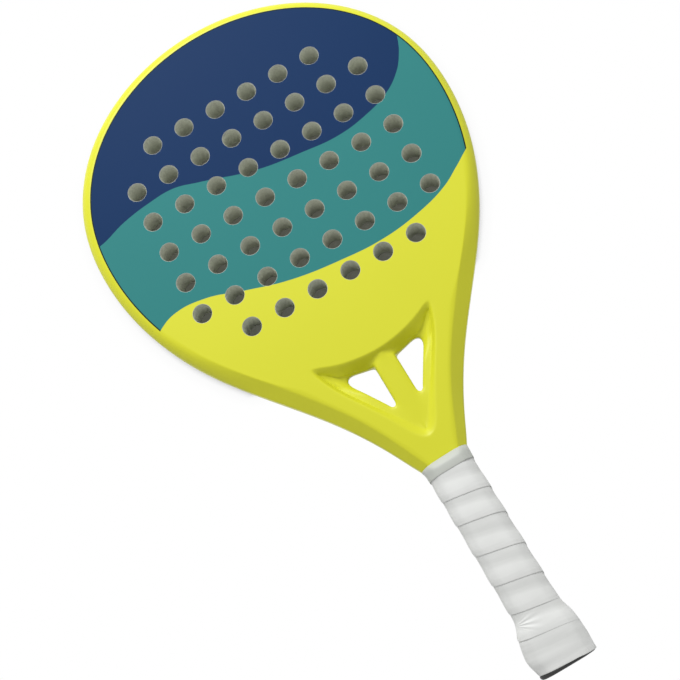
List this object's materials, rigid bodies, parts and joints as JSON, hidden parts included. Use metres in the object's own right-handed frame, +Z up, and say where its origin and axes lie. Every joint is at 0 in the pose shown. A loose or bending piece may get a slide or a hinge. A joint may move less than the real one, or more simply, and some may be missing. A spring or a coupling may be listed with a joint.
{
  "type": "beach tennis racket",
  "caption": "Perforated foam-core beach tennis racket with a painted tubular frame, open ribbed throat and wrapped handle.",
  "frame": {"origin": "on the surface the racket lies on, below the middle of its length, on its centre line", "axes": "+X across the face, +Y from the butt to the tip of the head, +Z up out of the front face"},
  "size_m": [0.2496, 0.458, 0.0332],
  "materials": {
    "frame_paint": "satin",
    "face_print": "satin",
    "core_foam": "matte",
    "handle_filler": "matte",
    "cushion_grip": "matte",
    "overgrip": "matte",
    "tape": "satin",
    "black_rubber": "matte"
  },
  "bodies": {
    "root": {"frame_tube": "frame_paint", "throat_bridge": "frame_paint", "throat_rib": "frame_paint", "front_face": "face_print", "back_face": "face_print", "foam_core": "core_foam", "handle_foam_left": "handle_filler", "handle_foam_right": "handle_filler", "base_grip": "cushion_grip", "overgrip": "overgrip", "finishing_tape": "tape", "butt_cap": "black_rubber"}
  },
  "joints": []
}
